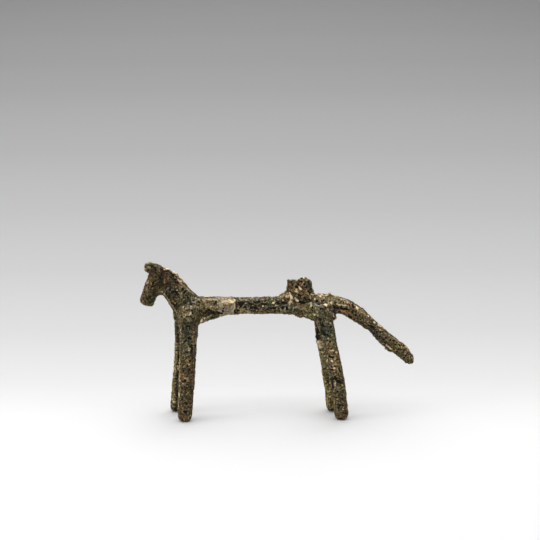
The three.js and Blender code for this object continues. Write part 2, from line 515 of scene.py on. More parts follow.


# %% [markdown]
# Broad areas come first: the hue and the tone of the crust change slowly from place to place. The head,
# the stump and the lower legs are a warm brown. The withers, the barrel and the loins are greyer and
# greener, where more of the green salts are left, and the far legs and the tail's end are olive. Between
# them lie dusty stretches and stretches of painted shade, a darker tone that stands for the shade under
# the crest, the shoulder, the stump and the tail root and also darkens other stretches. The strokes of
# the hues are sunk into the middle of the rods, so that they wrap all the way round to the side that
# isn't seen. The painted shade and the dust stay near the skin.

# %% Broad areas of the crust, and painted shade
WARM = {
    "head": [(153, 274, 147, 290, 143, 300, 3.6), (160, 270, 163, 284, 2.6), (156, 268, 160, 270, 1.4)],
    "stump": [(291, 282, 296, 286, 304, 285, 306, 290, 3.0), (298, 292, 2.0)],
    "slope before the stump": [(279, 298, 288, 294, 1.6)],
    "rump and tail root": [(314, 295, 330, 297, 345, 302, 2.0), (318, 314, 1.4)],
    "tail": [(350, 306, 360, 312, 370, 318, 2.2), (345, 313, 1.2)],
    "near foreleg": [(187, 360, 186, 385, 185, 420, 2.8)],
    "near hind leg": [(333, 348, 336, 366, 340, 395, 344, 414, 2.8)],
    "barrel behind the shoulder": [(203, 305, 218, 308, 1.6)],
}
SAGE = {
    "forelock": [(147, 266, 1.8), (151, 271, 1.0)],
    "neck": [(170, 289, 176, 292, 186, 296, 2.0)],
    "shoulder and withers": [(186, 303, 199, 299, 210, 299, 2.4), (190, 312, 1.6)],
    "barrel": [(238, 300, 246, 302, 2.2), (252, 301, 276, 302, 2.4), (286, 306, 2.6)],
    "loins": [(286, 311, 296, 309, 2.0)],
    "rump": [(314, 303, 324, 304, 2.0), (332, 309, 1.4)],
    "thigh": [(322, 314, 328, 334, 2.6)],
    "top of the near foreleg": [(188, 326, 187, 346, 2.4)],
}
OLIVE = {
    "under the barrel": [(241, 310, 252, 312, 262, 312, 1.7)],
    "loins": [(284, 312, 296, 313, 1.2)],
    "end of the tail": [(395, 345, 411, 361, 2.4)],
    "far foreleg": [(175, 330, 173, 410, 2.8)],
    "far hind leg": [(321, 350, 329, 408, 2.8)],
}
# Painted shade: a darker tone under the crest, the shoulder, the stump, the tail root and elsewhere.
PAINTED_SHADE = {
    "forelock": [(147, 268.5, 152, 270.5, 1.2)],
    "ear": [(154, 267, 162, 269.5, 1.9), (155, 270, 162, 271, 1.3)],
    "cheek and jaw": [(157, 284, 154, 292, 151, 300, 1.1), (161, 277, 162, 284, 1.1)],
    "muzzle": [(148, 298, 151, 299, 0.9)],
    "under the crest": [(165, 273, 172, 277, 177, 283, 1.0)],
    "neck": [(166, 286, 174, 292, 2.0), (172, 296, 175, 306, 1.6), (182, 291, 188, 296, 0.9)],
    "under the shoulder": [(205, 312.5, 221, 313, 1.2)],
    "behind the repair": [(237, 304, 243, 303.5, 1.3)],
    "barrel": [(250, 304.5, 262, 304.5, 1.2), (252, 309, 256, 309, 0.9), (276, 303, 288, 304, 1.0)],
    "under the stump": [(299, 297, 307, 299, 1.0), (300, 302, 306, 303, 0.8)],
    "knobs": [(288, 281, 291, 283, 1.4), (301, 279, 306, 280, 309, 284, 1.7), (309, 288, 310, 293, 1.3)],
    "thigh": [(320, 320, 323, 326, 1.2), (322, 334, 327, 335, 1.1)],
    "under the tail root": [(337, 308.5, 341, 307.5, 348, 309.5, 0.8)],
    "tail": [(353, 305.5, 355, 313, 0.9), (370, 327, 377, 336, 1.3), (384, 340, 390, 346, 0.8)],
    "near foreleg": [
        (184, 325, 190, 327, 1.4), (186, 330, 189, 342, 1.2), (191, 346, 192, 360, 0.9),
        (188, 386, 192, 392, 1.1),
    ],
    "near hind leg": [(329, 379, 340, 381, 2.2)],
    "far legs": [(316, 330, 318, 338, 1.3), (177.5, 326, 178.2, 345, 0.5), (177, 376, 177.5, 402, 0.6)],
}
DUST = {
    "crest": [(166, 270.5, 173, 274, 181, 283, 188, 291, 0.6)],
    "throat": [(162, 291, 168, 298, 173, 306, 0.7)],
    "painted highlight down the chest edge": [(175, 308, 179, 318, 0.8)],
    "shoulder": [(181, 317, 190, 314, 1.3), (188, 319, 1.2)],
    "withers": [(194, 299, 216, 299.5, 1.2), (236, 299.5, 246, 299.5, 1.0)],
    "barrel behind the shoulder": [(201, 305.5, 216, 307.5, 1.3), (201, 320, 208, 317.5, 1.0)],
    "repair": [(221, 302.5, 231, 302.5, 1.5)],
    "under the barrel": [(242, 311, 249, 311.5, 0.9)],
    "slope before the stump": [(280, 297.5, 287, 294, 1.1), (288, 302, 292, 305, 1.0)],
    "loins": [(287, 305, 297, 306, 1.5), (301, 308, 309, 308, 1.8), (306, 313, 314, 315, 1.6)],
    "foot of the stump": [(295, 290, 299, 291, 1.2)],
    "rump": [(312, 296, 332, 299, 1.5), (314, 306, 317, 313, 1.6), (328, 303, 332, 304, 1.2)],
    "tail root": [(336, 299, 349, 304, 1.6)],
    "tail": [(356, 308, 366, 316, 1.4), (376, 325, 383, 329.5, 0.7), (397, 343, 403, 348, 0.8)],
    # The stroke at across 180 is painted highlight on the lit front edge of the near foreleg.
    "near foreleg": [(186, 357, 187, 362, 1.0), (180, 352, 180, 380, 0.9), (184, 375, 187, 379, 1.0)],
    "near hind leg": [
        (333, 348, 334, 356, 1.8), (333, 359, 337, 371, 1.9), (334, 384, 338, 389, 1.1),
        (330, 340, 332, 344, 1.4),
    ],
    "far foreleg": [(174.5, 345, 174.5, 362, 173.5, 380, 172.5, 404, 1.2)],
    "far hind leg": [(319.5, 341, 322, 350, 1.8), (322, 352, 326, 376, 329, 396, 330, 406, 2.2)],
}
BROAD_RIM = (0.2, 1.25)
mark("warm", WARM, BROAD_RIM, sink=2.0)
mark("sage", SAGE, BROAD_RIM, sink=1.0)
mark("olive", OLIVE, BROAD_RIM, sink=2.0)
mark("shade", PAINTED_SHADE, BROAD_RIM, sink=0.3)
mark("dust", DUST, BROAD_RIM, sink=0.3)

# %% [markdown]
# Dark marks are recesses: nicks in the forelock, notches under the crest, the crack below the stump.
# Light hardly reaches into them and the black crust is thickest there, so each one is both sunk into the
# skin and coloured nearly black. That near black is the black crust and, in part, painted shade.

# %% Dark recesses
DARK = {
    "nicks in the forelock": [
        (151.8, 266.2, 0.5), (145.6, 263.6, 0.48), (145.5, 271.3, 0.3), (148, 270.4, 0.36),
    ],
    "furrow behind the forelock": [(154.3, 267.5, 155.4, 270.4, 0.36), (160.6, 269.3, 162.8, 270, 0.38)],
    "pits in the cheek": [
        (160, 278, 0.42), (153.8, 282.5, 152.6, 284.3, 0.36), (152, 287, 155.5, 285.2, 0.24),
        (155.5, 273, 0.3), (144, 292, 0.28), (150, 297, 0.38),
    ],
    "notches under the crest": [
        (166, 271.6, 171, 273.5, 0.28), (173.3, 275.8, 0.5), (175.8, 279.3, 0.42), (178.4, 281.4, 0.38),
        (176, 282.6, 178, 283, 0.38),
    ],
    "slots across the neck": [
        (172, 292, 177, 291.5, 0.22), (182.8, 289.2, 0.45), (184, 293, 185.5, 291, 0.34),
        (176, 293, 178, 294.5, 0.36), (166, 294, 169, 298, 0.34), (188, 297.5, 0.34),
    ],
    "hollow of the chest": [(172.2, 303.5, 174.5, 305.5, 0.54), (177.9, 314.5, 0.5)],
    "pits of the shoulder": [
        (192.2, 311, 192.3, 313, 0.36), (191, 305, 0.42), (202, 301, 0.3), (216, 301, 216, 303.5, 0.26),
    ],
    "pits behind the elbow": [
        (207, 310.2, 0.28), (209, 309.6, 0.32), (212.5, 313, 0.5), (211, 318, 216, 316.8, 0.34),
        (218, 313, 221, 313.2, 0.36), (222.5, 310.5, 0.3), (205.5, 313, 0.24),
    ],
    "stain behind the repair": [
        (240, 303.4, 242.5, 303, 0.66), (241.5, 303, 241, 306, 0.54), (239.5, 300, 0.34), (245, 307, 0.46),
        (238, 310.5, 0.5), (236, 313, 0.46),
    ],
    "stains of the barrel": [
        (255, 302.4, 259, 302, 0.42), (251, 307.5, 256, 308, 0.48), (262, 304, 266, 304.5, 0.34),
        (271, 308, 275, 308.5, 0.38), (283, 307.5, 0.5), (277, 302.5, 279, 303.5, 0.3),
        (283, 303, 286, 303.2, 0.42), (286.5, 307, 287, 309.5, 0.38), (285, 312.8, 291, 313, 0.3),
        (266.5, 309.8, 268.5, 308.4, 0.28), (259, 306, 0.3), (249, 303.5, 0.24),
    ],
    "hollows of the stump": [
        (296.3, 287.3, 0.54), (298.4, 284.4, 0.34), (288, 281, 290.5, 279.8, 0.44), (290.5, 292, 0.36),
        (298.5, 294.5, 300, 295.5, 0.34), (304, 297.5, 306, 299, 0.32), (304.5, 284.3, 0.4),
        (302, 282, 0.42), (309, 291.5, 310.5, 293.5, 0.42), (292.5, 285, 0.34), (307, 286.5, 0.3),
    ],
    "crack under the stump": [(299.5, 301.8, 304.5, 303, 0.42), (308, 299.3, 311, 300.3, 0.2)],
    "pits of the rump": [
        (317, 301, 0.48), (319, 304.3, 0.36), (323.7, 300.5, 0.36), (312.3, 307.2, 0.28),
        (312.3, 310.4, 0.28), (320.5, 309, 323, 309, 0.3), (333.5, 305.5, 335, 308.5, 0.3),
        (337.5, 308, 0.4), (316, 316, 317, 317.5, 0.24),
    ],
    "pits of the thigh": [
        (320.7, 319.5, 0.56), (322.5, 325, 0.48), (331, 327, 0.46), (322, 331, 325, 335, 0.5),
        (327.8, 334.8, 0.4), (334, 319, 0.44), (319, 335, 0.34), (328.5, 331, 0.3),
    ],
    "under the tail root": [
        (341, 308.3, 348.5, 309.8, 0.4), (340, 311.6, 0.3), (349, 316.4, 351, 317.4, 0.4),
    ],
    "pits of the tail": [
        (339, 300, 0.34), (336, 302.6, 0.3), (343.5, 302.6, 0.26), (352.6, 305, 353.6, 307.4, 0.36),
        (355.6, 315.3, 0.46), (360.5, 319.5, 0.3), (368.4, 314, 0.3),
        (368.5, 325.3, 371, 326, 374, 328, 0.3), (376.5, 331.5, 0.26), (380.8, 332.3, 0.38),
        (379.5, 336.5, 0.3), (383.3, 339.5, 0.28), (386, 338, 0.42), (390.3, 340, 0.36),
        (393.6, 340.5, 0.42), (384.4, 342.5, 0.26),
    ],
    "end of the tail": [
        (385, 345.5, 0.4), (386.3, 348.6, 390.3, 350.6, 0.4), (395.5, 344.5, 0.26),
        (399, 344.5, 400.2, 346, 0.3), (401.5, 349.6, 0.22), (404.6, 350, 0.28), (396.5, 351.5, 0.2),
        (404.3, 358.5, 0.3), (413.6, 359.4, 0.4), (408.4, 363.2, 411.4, 363.6, 0.42),
    ],
    "near foreleg": [
        (183, 326.6, 183.2, 329, 0.28), (186.4, 326.4, 189.4, 326.2, 0.28), (188.7, 338, 190.8, 338.8, 0.4),
        (185.5, 341, 0.34), (191.8, 347, 192.2, 352, 0.3), (190, 361, 0.36), (187.5, 366, 0.32),
        (184.6, 411.8, 185.8, 412.4, 0.5), (182, 399.5, 0.38), (186.6, 404, 0.42), (190.5, 403.5, 0.34),
        (182, 420.9, 188.5, 421, 0.45), (178.9, 418, 0.3), (185, 381, 0.28), (190.4, 387, 191, 389, 0.3),
        (190, 408, 0.24), (194.8, 378.4, 0.3),
    ],
    "far foreleg": [
        (175.4, 408.5, 176.2, 411, 0.45), (176, 384.5, 0.34), (177, 387.2, 0.3), (171.5, 402, 0.3),
        (177, 396, 0.34),
    ],
    "near hind leg": [
        (330.4, 342, 0.4), (324.6, 346.5, 0.36), (329.4, 356.6, 333, 357.3, 0.4), (331.3, 366.8, 0.34),
        (335, 366.5, 0.3), (329.5, 369.5, 332.5, 369.6, 0.34), (339, 369, 340.5, 371.5, 0.34),
        (330.8, 379.4, 335.5, 378.4, 0.68), (337, 381, 340.5, 382.5, 0.44), (332, 383, 332.5, 389, 0.58),
        (342, 395, 0.34), (335.8, 397.3, 0.38), (342.5, 399.3, 0.34), (339.5, 405.2, 0.38),
        (342.8, 405.2, 0.34), (338.5, 408, 0.42), (345.8, 413.4, 0.3), (338.5, 418.4, 341, 418.6, 0.4),
        (337.5, 391.5, 0.3),
    ],
    "far hind leg": [
        (315.6, 337.5, 316.4, 341, 0.8), (317, 328, 317.6, 334, 0.34), (328.7, 409.8, 332.4, 409.8, 0.45),
    ],
    "edge of the repair": [
        (234.8, 309.5, 234.6, 312.5, 0.26), (223, 311, 0.4), (223.4, 308.2, 0.32), (222, 313.2, 0.4),
    ],
}
mark("dark", DARK, (0.6, 1.4))

# %% [markdown]
# Pale marks are worn crust and dust on what stands proud: along the crest and over the tail. They are a
# little raised, because it is their height that got them rubbed. The pale strips down the chest edge and
# the front of the near foreleg are painted highlight, where the lamp at the left catches those edges.

# %% Pale crust, and painted highlight on lit edges
PALE = {
    "forelock": [(147, 264, 152.5, 263.8, 0.3)],
    "ear": [(154, 265, 159.5, 266.8, 0.26)],
    "nose": [(148.7, 281, 147.2, 284, 0.3), (147.4, 286.5, 146.5, 291, 0.32)],
    "crest": [(174.5, 277.7, 178, 279.8, 0.28), (181, 283, 185, 286.6, 189, 291, 194, 294.5, 0.42)],
    "throat": [(180.4, 291, 180.6, 295, 182, 297.5, 0.32)],
    "painted highlight down the chest edge": [(171, 304, 175, 311, 178, 318, 180.5, 322, 0.4)],
    "shoulder": [(183, 316.5, 187, 313, 0.55), (189, 315, 191.5, 312.6, 0.5), (186, 309, 0.3)],
    "behind the elbow": [(205, 318.6, 209, 316.6, 0.5)],
    "behind the shoulder": [
        (205, 307.8, 208.6, 305.6, 212, 306.6, 216, 307, 219, 308.8, 0.36), (206.5, 305.6, 210, 305, 0.36),
    ],
    "ring on the repair": [
        (219.6, 305, 222, 302.6, 225.4, 301, 229, 301.8, 232, 303, 233.6, 306, 231, 308.6, 226.4, 307.6,
         222, 306.2, 219.6, 305, 0.3),
    ],
    "withers": [(195, 298.5, 205, 299.4, 216, 300, 0.4), (194, 306, 200, 308, 0.36)],
    "barrel": [
        (238.4, 308.5, 0.4), (262, 299.4, 264, 300, 0.3), (242, 309.6, 251, 311.5, 0.4), (263, 308, 0.3),
        (284, 311, 285.5, 312, 0.34), (280.3, 308, 281, 311, 0.24), (250, 298.8, 254, 299, 0.26),
    ],
    "slope before the stump": [(279.5, 298, 284, 296.2, 287, 294.4, 0.6)],
    "stump": [(296.5, 280.4, 295.8, 283.4, 0.34), (308, 289.3, 309.5, 288, 0.3), (294, 308, 297, 307, 0.4)],
    "rump": [
        (329, 303, 333, 302, 0.5), (327, 309, 331, 313, 332, 316, 0.34), (310, 315, 315, 314, 0.4),
        (306, 318, 312, 320.5, 0.36), (316.8, 321, 317.6, 330, 0.36), (330, 323.5, 0.42),
    ],
    "tail root": [(340.5, 298.6, 346, 300.4, 351.5, 303.4, 0.36), (345, 302, 0.34)],
    "tail": [
        (362.4, 310, 0.34), (361.6, 312, 366, 314.6, 0.34), (365, 320, 0.36), (371, 324.4, 0.28),
        (377, 327.6, 382, 330.6, 0.42), (385, 333, 393, 338, 400, 343.4, 0.28), (388, 341, 0.34),
        (398, 347, 0.26), (404.6, 347.2, 408, 349.2, 410.3, 352.6, 0.26), (409, 356.6, 410, 358.4, 0.36),
    ],
    "near foreleg": [
        # Strokes at across 178 to 181 are painted highlight on the lit front edge; the rest are worn crust.
        (180.7, 321, 181, 337, 0.28), (180.3, 343, 180, 352, 0.3), (184.5, 372, 0.3),
        (185, 378.6, 188, 378.4, 0.46), (183.5, 385.6, 187.6, 385.8, 0.26), (185.5, 383.2, 0.42),
        (188.8, 348, 189, 352, 0.34), (188.4, 364.5, 190, 364.6, 0.38), (178.9, 399, 178.4, 408, 0.38),
        (179.5, 370, 180, 392, 0.26), (186, 406.6, 0.3), (184.6, 419.4, 0.34),
    ],
    "near hind leg": [
        (326.8, 342, 327, 348, 0.4), (333, 365, 335, 363.8, 0.36), (336.6, 376.6, 341.4, 377.8, 0.34),
        (335, 385, 339.5, 388, 0.46), (344.6, 388, 346.4, 399, 0.2), (338, 401.6, 344, 402.2, 0.24),
        (340.3, 411, 342.6, 411.4, 0.3), (334, 400, 334.4, 410, 0.28), (328, 373.2, 329, 373, 0.36),
    ],
    "far foreleg": [(175.6, 368, 175.8, 371.4, 0.5), (172.6, 376.6, 0.28)],
}
mark("pale", PALE)

# %% [markdown]
# Where the crust has flaked off, a cream layer under it comes to light. These flakes are the brightest
# spots of the horse: along the crest, at the stump's foot, on the rump and down the legs.

# %% Cream where the crust flaked off
CREAM = {
    "forelock": [(149, 267, 0.22)],
    "crest": [
        (163.6, 269.6, 168, 270.3, 0.34), (172, 272.8, 175, 274.7, 0.32), (178.2, 279.9, 181, 281.6, 0.3),
    ],
    "neck": [(177.5, 290, 0.28), (175.2, 303.4, 0.22)],
        "shoulder": [(183, 307, 0.26), (189.6, 314.6, 191, 312.8, 0.28), (185, 314.6, 0.26)],
    "behind the shoulder": [(206, 306.6, 0.24), (211, 306.4, 0.2), (217, 307.6, 0.22)],
    "web of the foreleg": [(200.6, 322.6, 201.8, 319.8, 0.42), (204.5, 318.4, 0.26)],
    "ring on the repair": [
        (222, 302.6, 225.4, 301, 229, 301.8, 232, 303, 0.22), (228.6, 300, 233.6, 302.6, 0.34),
    ],
    "strip behind the repair": [(234.4, 299, 234.5, 303.5, 0.36), (234.5, 303.5, 234.5, 309, 0.28)],
    "barrel": [
        (245.5, 303.2, 0.3), (262.8, 306, 0.34), (273.4, 303, 0.38), (276, 305.5, 0.3), (272, 299.6, 0.26),
        (283, 300.8, 0.34), (256.5, 310.6, 0.26),
    ],
    "slope before the stump": [(281, 296.8, 0.22), (286.4, 296.6, 288, 296.4, 0.32)],
    "foot of the stump": [
        (289.6, 293.4, 290.6, 296, 291.8, 298.4, 291, 301, 289.6, 303.4, 0.42),
        (295.4, 298.2, 297.4, 300.8, 0.36), (297.3, 300.8, 0.5),
    ],
    "stump": [(296.5, 289.4, 296.6, 291.4, 0.36), (299, 286.6, 302, 289.4, 0.34), (287, 290, 0.24)],
    "rump": [
        (311, 294.3, 316, 294.4, 321, 296, 0.22), (321, 295.2, 328, 294.8, 0.22), (320.5, 296.6, 0.4),
        (315, 299, 0.4), (311.3, 302.8, 311, 305.4, 0.36), (325.5, 304.7, 0.6), (314.6, 315, 0.36),
        (331, 302.6, 0.5),
    ],
    "thigh": [(333, 313.4, 333.8, 316.8, 0.26), (330.4, 323, 0.26)],
    "tail root": [(337, 304.3, 342, 305, 346, 305.5, 0.24), (341.4, 299, 0.22), (347.2, 303.4, 0.28)],
    "tail": [
        (357, 306.6, 357.6, 308.6, 0.46), (368.6, 316.2, 0.34), (374.2, 322.6, 0.42),
        (378, 325.2, 380.6, 326.8, 0.28), (386.6, 345.2, 388.6, 347, 391, 349, 0.36),
    ],
    "near foreleg": [
        (179.4, 360, 179.2, 362.6, 0.28), (178.4, 366, 178.4, 368.4, 0.28), (179.4, 376.6, 0.34),
        (180, 381, 0.26), (183, 383.6, 0.26), (179.2, 394, 179.2, 397, 0.34), (189.3, 350.4, 0.26),
        (178.4, 403, 178.4, 406, 0.3), (189.2, 364.4, 0.26), (180.6, 330, 0.3),
    ],
    "far foreleg": [
        (172.3, 399.3, 0.28), (173.6, 401.6, 175.2, 401.4, 0.34), (176, 369.4, 0.28), (172.4, 406.6, 0.24),
    ],
    "near hind leg": [
        (331.2, 350.5, 333, 350.5, 0.34), (336.5, 352.6, 0.46), (331.7, 360.6, 0.5), (334, 368, 0.4),
        (327.4, 360, 327.5, 368, 0.34), (335.2, 383.4, 0.28), (342.5, 385.3, 0.34), (337, 399.3, 0.28),
        (329.8, 377, 329.8, 383, 0.24),
    ],
    "far hind leg": [
        (319.6, 341, 322.4, 342.8, 0.6), (319.9, 344, 320.2, 346, 0.44), (322, 347.2, 0.46),
        (323, 352.5, 0.46), (325.2, 356, 0.42), (330.3, 388.3, 0.4), (330, 391, 0.38), (329.3, 396.6, 0.32),
    ],
}
FIRM_RIM = (0.5, 1.4)
mark("cream", CREAM, FIRM_RIM)

# %% [markdown]
# Bare metal shows where even the cream is gone, as bright cores of a few of its flakes. It is the one
# thing on the horse with some gleam, so it gets a mask of its own.

# %% Bare metal
BARE = {
    "foot of the stump": [(290.6, 296, 291.4, 298.2, 0.34), (297.3, 300.8, 0.32)],
    "stump": [(300, 287.6, 301.6, 289, 0.3)],
    "barrel": [(273.4, 303, 0.28), (262.8, 306, 0.26)],
    "rump": [(325.5, 304.7, 0.42), (315, 299, 0.24)],
    "tail": [(357, 307.6, 0.3), (374.2, 322.5, 0.26), (368.6, 316.2, 0.22)],
    "hind legs": [(331.7, 360.6, 0.34), (334, 368, 0.24), (325.2, 356, 0.24), (321, 342, 0.34)],
    "web of the foreleg": [(201.2, 321, 0.26)],
    "repair": [(231, 301.2, 0.26)],
}
mark("bare", BARE, FIRM_RIM)

# %% [markdown]
# Rusty earth stays in a few recesses, most of it under the root of the tail. A chalky bloom of pale green
# salts lies round the shoulder and on the rump, and spots of slate blue-grey are strewn along the rods.

# %% Earth, bloom and slate
EARTH = {
    "neck": [(172.8, 301, 0.5), (174.8, 303.6, 0.3), (175.5, 286.6, 0.36), (162.8, 291.4, 0.36)],
    "behind the shoulder": [(219.5, 309, 0.42), (204.6, 308.2, 0.3), (225, 298.4, 0.3)],
    "repair": [(228.3, 305.2, 0.42), (224, 304.4, 0.34), (228, 312.5, 0.34)],
    "stump": [(306.5, 290.5, 0.34), (300, 315.4, 0.5)],
    "under the tail root": [(341.8, 311, 345, 311.8, 348.6, 313.2, 0.52), (346.8, 312.2, 0.5)],
    "tail": [(346, 307, 0.26), (356, 319.4, 0.36), (392.2, 351.2, 0.26), (365, 314.4, 0.26)],
    "near foreleg": [
        (182.5, 408, 0.44), (182, 411, 0.3), (185, 416.4, 0.3), (188, 392.5, 0.38),
        (195.4, 339.4, 195.2, 343, 0.22), (193.5, 331, 193.4, 333, 0.22), (187, 363, 0.24),
        (186.5, 400.5, 0.28),
    ],
    "far foreleg": [(174, 384, 0.26)],
    "near hind leg": [(328.5, 352, 0.3), (327.8, 350, 0.3), (337, 394.5, 0.28)],
}
BLOOM = {
    "shoulder": [
        (191, 306, 190.8, 308.6, 0.36), (188.5, 303.6, 0.36), (189, 315.2, 0.26),
        (193, 301.5, 196, 302, 0.3),
    ],
    "neck": [(178.6, 292.7, 0.3), (178.5, 295.2, 0.28)],
    "repair": [(231.6, 311, 233.4, 310, 0.34), (220, 299.2, 0.34), (226.6, 304, 0.24)],
    "stump": [(310, 296, 310.6, 299, 0.26), (286.8, 289.8, 0.28)],
    "rump": [(314.6, 303, 316.4, 305.4, 319, 306, 322, 304.6, 0.26), (315, 299, 0.3), (332, 309, 0.36)],
    "near hind leg": [(330.4, 323.4, 0.34), (329.8, 376, 329.8, 383, 0.22)],
    "far hind leg": [(325.2, 356, 0.3)],
}
SLATE = {
    "forelock": [(150.5, 269.5, 0.4), (160.5, 269.5, 0.3)],
    "neck": [(187, 294, 0.4), (169, 290, 0.4), (173, 295, 0.45), (183.5, 291, 0.3)],
    "shoulder": [(196, 304, 0.4), (188, 320, 190, 322, 0.4)],
    "repair": [(225, 309, 230, 309.3, 0.32), (224.4, 312, 227, 312.2, 0.34), (230.2, 303.8, 0.32)],
    "barrel": [
        (247, 303, 252, 303, 0.4), (262, 301.5, 0.34), (270, 305, 0.4), (279, 305.5, 0.4), (258, 300, 0.3),
    ],
    "stump": [(308.5, 284, 309.5, 287, 0.4), (286, 304, 288, 308, 0.45), (301, 294, 0.34)],
    "rump": [
        (321.5, 303, 0.34), (319.5, 301.8, 0.3), (324, 316, 0.45), (325, 322, 0.4), (327, 328, 0.4),
        (331.6, 309.6, 332.6, 308.4, 0.4),
    ],
    "tail": [
        (359, 312.6, 0.3), (369, 318.6, 0.36), (372, 329.4, 377.4, 335, 0.36), (367.6, 327, 0.36),
        (405.4, 353, 0.36), (381, 338, 0.3), (394.4, 347.5, 0.4), (361, 320, 0.3),
    ],
    "near foreleg": [
        (184.6, 329, 189.4, 335, 0.6), (186, 350, 186, 359, 0.34), (191.8, 353, 192, 358, 0.34),
        (190.6, 385.6, 193, 387.6, 0.5), (181.6, 402, 0.4), (188, 410, 188, 414, 0.36),
    ],
    "far foreleg": [(177, 380, 177, 394, 0.4)],
    "near hind leg": [
        (332, 379, 335.6, 379.6, 0.34), (335, 386, 338, 390, 0.36), (329.6, 334, 0.4), (340, 396, 0.3),
    ],
}
mark("earth", EARTH)
mark("bloom", BLOOM)
mark("slate", SLATE)

# %% [markdown]
# The solid follows the rods, and the crust swells out from them here and there: along the crest, round
# the stump, on the far thigh and at the tail's end. Such a swelling shows as a bump on the outline. In
# a few places the crust is thinner, and the outline lies a little deeper. Each is a stroke again, with
# one number more: how far it lifts the skin.

# %% Swellings on the outline
SWELLINGS = {
    "forelock": [
        (145.5, 263.6, 151, 263.4, 0.6, 0.45), (144.8, 269, 0.5, 0.30), (145.4, 272, 148.4, 275, 0.6, 0.45),
    ],
    "crest": [
        (165, 269.2, 168, 270.4, 0.7, 0.65), (171, 272.6, 176, 275.8, 0.6, 0.55),
        (176, 275.8, 181, 280.5, 186, 285.4, 0.7, 0.48), (195, 294, 197, 296, 0.5, 0.25),
    ],
    "throat": [(161, 294.4, 165, 298, 168, 303, 0.8, -0.20)],
    "chest": [(174, 314, 174.6, 322, 0.6, 0.45)],
    "elbow": [(198.5, 325, 198.5, 333, 0.8, 0.50), (199, 324, 204, 322.4, 0.7, 0.40)],
    "withers": [(200, 296.8, 203, 296.8, 0.6, 0.25), (205, 297, 214, 297, 0.8, -0.28)],
    "back": [(233, 298, 247, 298, 0.9, -0.38), (264, 297.4, 269, 297.4, 0.6, 0.42)],
    "belly": [
        (254, 313, 286, 313.6, 1.0, 0.28), (284, 314, 289, 314.4, 0.8, 0.36),
        (232, 314, 237, 314, 0.7, 0.38), (296, 315.4, 300.4, 316.8, 0.6, 0.40),
    ],
    "slope before the stump": [
        (275, 297, 280, 296.4, 0.6, 0.32), (282, 294.6, 285, 291.6, 286.8, 288, 0.9, 0.36),
    ],
    "stump": [
        (288, 280.6, 293, 280.4, 0.6, 0.42), (296, 281, 299, 280.4, 0.6, 0.48),
        (301, 278.6, 306, 278.2, 0.7, 0.26), (308.6, 280, 311, 284, 0.6, 0.30),
        (311.4, 287.6, 313, 292, 0.6, 0.28),
    ],
    "rump": [
        (314, 294.4, 321, 294.6, 0.6, 0.48), (329.2, 293.6, 0.55, 0.62),
        (331, 294.6, 337, 296.6, 0.6, 0.25), (315, 322, 315.4, 332, 0.8, -0.42),
    ],
    "flake behind the thigh": [(335.4, 315, 336, 317.6, 0.7, 0.62), (334.6, 320, 0.5, 0.25)],
    "top of the tail": [
        (351, 302, 360, 306, 0.9, -0.28), (361.5, 308, 363, 309, 0.5, 0.30),
        (372, 318.6, 384, 329, 0.8, 0.25), (402, 343.6, 408.6, 349.4, 0.8, 0.42),
    ],
    "underside of the tail": [
        (347, 316, 355, 321, 0.7, 0.30), (360, 324, 366, 328.6, 0.7, 0.30),
        (380, 343, 383, 345.6, 0.7, 0.24), (366, 329, 371, 332.6, 378, 341, 0.8, -0.22),
        (385.8, 348, 390.4, 351, 0.7, 0.80), (409.4, 363, 412, 362.8, 0.7, 0.60),
    ],
    "near foreleg": [
        (194.6, 372, 194.6, 379, 0.6, 0.30), (194.2, 382, 193.6, 390, 0.6, 0.26),
        (195.6, 347, 195, 367, 0.7, -0.40),
    ],
    "far foreleg": [
        (173.8, 345, 173.2, 370, 0.8, 0.45), (172.4, 374, 172.2, 378, 0.6, 0.30),
        (170.8, 398, 170.8, 409, 0.6, 0.26),
    ],
    "far hind leg": [
        (315.6, 337, 316, 342.5, 1.0, 0.85), (317, 345, 318, 349, 0.6, 0.40),
        (322.6, 372, 324.6, 393, 0.8, 0.40), (325.4, 401, 326, 407, 0.6, 0.28),
    ],
    "near hind leg": [(336.6, 338, 341, 358, 0.9, 0.42), (346.6, 389, 348.4, 412, 0.8, 0.45)],
}
SWELLING_RIM = (0.2, 1.5)
swellings = np.zeros(count)
for strokes in SWELLINGS.values():
    for *line, lift in strokes:
        swellings += lift * lay(line, np.zeros(count), SWELLING_RIM)
print("swellings run from", round(float(swellings.min()), 2), "to", round(float(swellings.max()), 2), "mm")

# %% [markdown]
# The barrel was broken just behind the shoulder and mended. The mend is a band of pale filler right round
# it, a little proud of the crust, with a ragged front edge and a nearly straight one behind.

# %% Repair
REPAIR_FRONT = -20.4
REPAIR_BACK = -15.1
REPAIR_LOW = 34
REPAIR_HIGH = 45
along, _, above = smooth_points.T
ragged = along + 1.1 * tatter[:, 0] + 0.8 * rolling(smooth_points, 2.0, 2, seed=31.0)
straight = along + 0.3 * tatter[:, 0]
behind_front = rise(ragged, REPAIR_FRONT - 0.5, REPAIR_FRONT + 0.5)
before_back = 1 - rise(straight, REPAIR_BACK - 0.2, REPAIR_BACK + 0.2)
on_barrel = (above > REPAIR_LOW) & (above < REPAIR_HIGH)
repair = behind_front * before_back * on_barrel
print("repair covers", round(100 * float((repair > 0.5).mean()), 1), "% of the skin")

# %% [markdown]
# The photograph doesn't show the far side, the top or the soles. They lay in the same ground, so they
# get marks of the same kinds, strewn at random and a little sparser. A point counts as hidden when its
# skin faces away from the camera. Each stroke starts there and runs a few millimetres along the skin.

